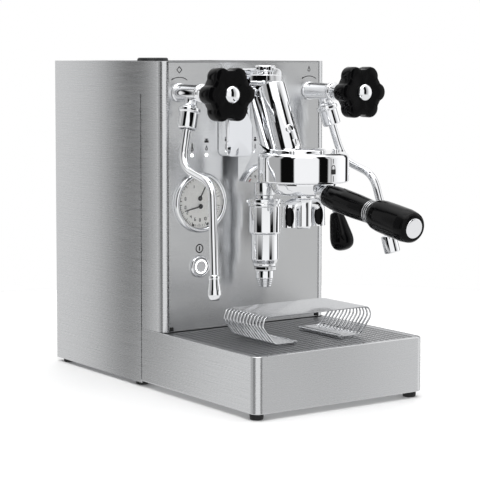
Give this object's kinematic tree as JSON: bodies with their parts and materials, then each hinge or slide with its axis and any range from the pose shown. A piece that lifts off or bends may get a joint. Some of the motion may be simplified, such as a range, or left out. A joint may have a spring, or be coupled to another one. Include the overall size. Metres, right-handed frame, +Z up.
{
  "type": "espresso machine",
  "caption": "Compact pump espresso machine: brushed steel cabinet, chrome lever group, locking portafilter, steam and hot water wands, drip tray with wire cup stand.",
  "frame": {"origin": "on the worktop, under the middle of the machine's bounding box", "axes": "+Z up, the front with the group faces -Y, +X is to the right as seen from the front"},
  "size_m": [0.2604, 0.5235, 0.3603],
  "materials": {
    "casing_steel": "brushed stainless sheet, satin",
    "panel_steel": "finely brushed stainless sheet, half mirror",
    "inner_steel": "plain stainless sheet",
    "chrome": "polished chrome plate",
    "stand_wire": "polished steel wire",
    "black_plastic": "gloss black phenolic",
    "cap_black": "satin black plastic",
    "rubber": "matt black rubber",
    "gasket": "black rubber seal",
    "seat_white": "white PTFE",
    "dial_white": "printed white dial",
    "needle_black": "black painted hand",
    "gauge_glass": "clear flat glass",
    "button_grey": "grey button with a lit ring",
    "lamp_white": "white lit lens",
    "tank_plastic": "smoky clear plastic",
    "copper": "bare copper",
    "pump_black": "black moulded pump body"
  },
  "bodies": {
    "machine": {"boiler": "copper", "casing_wrap": "casing_steel", "chassis_base": "inner_steel", "drain_fitting": "chrome", "foot_front_left": "rubber", "foot_front_right": "rubber", "foot_middle_left": "rubber", "foot_middle_right": "rubber", "foot_rear_left": "rubber", "foot_rear_right": "rubber", "front_panel": "panel_steel", "gauge_dial": "dial_white", "gauge_glass": "gauge_glass", "gauge_housing": "chrome", "group_body": "chrome", "group_gasket": "gasket", "group_hex_nut": "chrome", "group_top_cap": "chrome", "heating_element": "inner_steel", "light_left": "lamp_white", "light_right": "lamp_white", "lower_chamber": "chrome", "power_button_bezel": "chrome", "power_inlet": "cap_black", "pump": "pump_black", "shower_screen": "inner_steel", "steam_joint_nut": "chrome", "steam_valve": "chrome", "tray_housing": "casing_steel", "water_joint_nut": "chrome", "water_valve": "chrome"},
    "steam_knob": {"steam_knob": "black_plastic", "steam_knob_cap": "chrome"},
    "water_knob": {"water_knob": "black_plastic", "water_knob_cap": "chrome"},
    "steam_seat": {"steam_joint_seat": "seat_white"},
    "steam_wand": {"steam_wand": "chrome", "steam_tip": "chrome"},
    "water_seat": {"water_joint_seat": "seat_white"},
    "water_wand": {"water_wand": "chrome", "water_nozzle": "chrome"},
    "lever": {"camshaft": "chrome", "lever_arm": "chrome", "lever_knob": "black_plastic"},
    "portafilter": {"portafilter_body": "chrome", "filter_basket": "inner_steel", "spout": "chrome", "handle_front": "black_plastic", "handle_grip": "black_plastic", "handle_end_cap": "chrome"},
    "drip_pan": {"drip_pan": "inner_steel"},
    "drip_grid": {"drip_grid": "inner_steel"},
    "cup_stand": {"cup_stand": "stand_wire"},
    "power_button": {"power_button": "button_grey"},
    "boiler_needle": {"boiler_needle": "needle_black"},
    "pump_needle": {"pump_needle": "needle_black"},
    "cup_tray": {"cup_tray": "casing_steel"},
    "water_tank": {"water_tank": "tank_plastic"},
    "tank_lid": {"tank_lid": "casing_steel", "tank_lid_cap": "cap_black"}
  },
  "joints": [
    {"name": "steam_knob_turn", "type": "hinge", "parent": "machine", "child": "steam_knob", "pos_m": [-0.087, -0.055, 0.3235], "axis": [0, -1, 0], "range_deg": [0, 540]},
    {"name": "water_knob_turn", "type": "hinge", "parent": "machine", "child": "water_knob", "pos_m": [0.087, -0.055, 0.3235], "axis": [0, -1, 0], "range_deg": [0, 540]},
    {"name": "steam_wand_swivel", "type": "hinge", "parent": "machine", "child": "steam_seat", "pos_m": [-0.09405, -0.0042, 0.29718], "axis": [-0.2565, -0.1345, -0.9571], "range_deg": [-30, 45]},
    {"name": "steam_wand_tilt", "type": "hinge", "parent": "steam_seat", "child": "steam_wand", "pos_m": [-0.09405, -0.0042, 0.29718], "axis": [-0.9659, 0, 0.2588], "range_deg": [-6, 6]},
    {"name": "water_wand_swivel", "type": "hinge", "parent": "machine", "child": "water_seat", "pos_m": [0.09405, -0.0042, 0.29718], "axis": [0.2565, -0.1345, -0.9571], "range_deg": [-45, 20]},
    {"name": "water_wand_tilt", "type": "hinge", "parent": "water_seat", "child": "water_wand", "pos_m": [0.09405, -0.0042, 0.29718], "axis": [-0.9659, 0, -0.2588], "range_deg": [-6, 6]},
    {"name": "lever_turn", "type": "hinge", "parent": "machine", "child": "lever", "pos_m": [0, -0.012, 0.237], "axis": [-1, 0, 0], "range_deg": [0, 50]},
    {"name": "portafilter_turn", "type": "hinge", "parent": "machine", "child": "portafilter", "pos_m": [0, -0.0815, 0.22], "axis": [0, 0, -1], "range_deg": [0, 50]},
    {"name": "drip_pan_lift", "type": "slide", "parent": "machine", "child": "drip_pan", "axis": [0, 0, 1], "range_m": [0, 0.02]},
    {"name": "drip_grid_lift", "type": "slide", "parent": "drip_pan", "child": "drip_grid", "axis": [0, 0, 1], "range_m": [0, 0.015]},
    {"name": "cup_stand_lift", "type": "slide", "parent": "drip_grid", "child": "cup_stand", "axis": [0, 0, 1], "range_m": [0, 0.015]},
    {"name": "power_button_press", "type": "slide", "parent": "machine", "child": "power_button", "axis": [0, 1, 0], "range_m": [0, 0.0025], "stiffness_N_per_m": 300},
    {"name": "boiler_needle_turn", "type": "hinge", "parent": "machine", "child": "boiler_needle", "pos_m": [-0.0615, 0.0235, 0.2086], "axis": [0, -1, 0], "range_deg": [-60, 120], "stiffness_Nm_per_rad": 0.0005},
    {"name": "pump_needle_turn", "type": "hinge", "parent": "machine", "child": "pump_needle", "pos_m": [-0.0615, 0.0235, 0.2], "axis": [0, -1, 0], "range_deg": [-60, 120], "stiffness_Nm_per_rad": 0.0005},
    {"name": "cup_tray_lift", "type": "slide", "parent": "machine", "child": "cup_tray", "axis": [0, 0, 1], "range_m": [0, 0.03]},
    {"name": "water_tank_lift", "type": "slide", "parent": "machine", "child": "water_tank", "axis": [0, 0, 1], "range_m": [0, 0.03]},
    {"name": "tank_lid_lift", "type": "slide", "parent": "water_tank", "child": "tank_lid", "axis": [0, 0, 1], "range_m": [0, 0.03]}
  ]
}
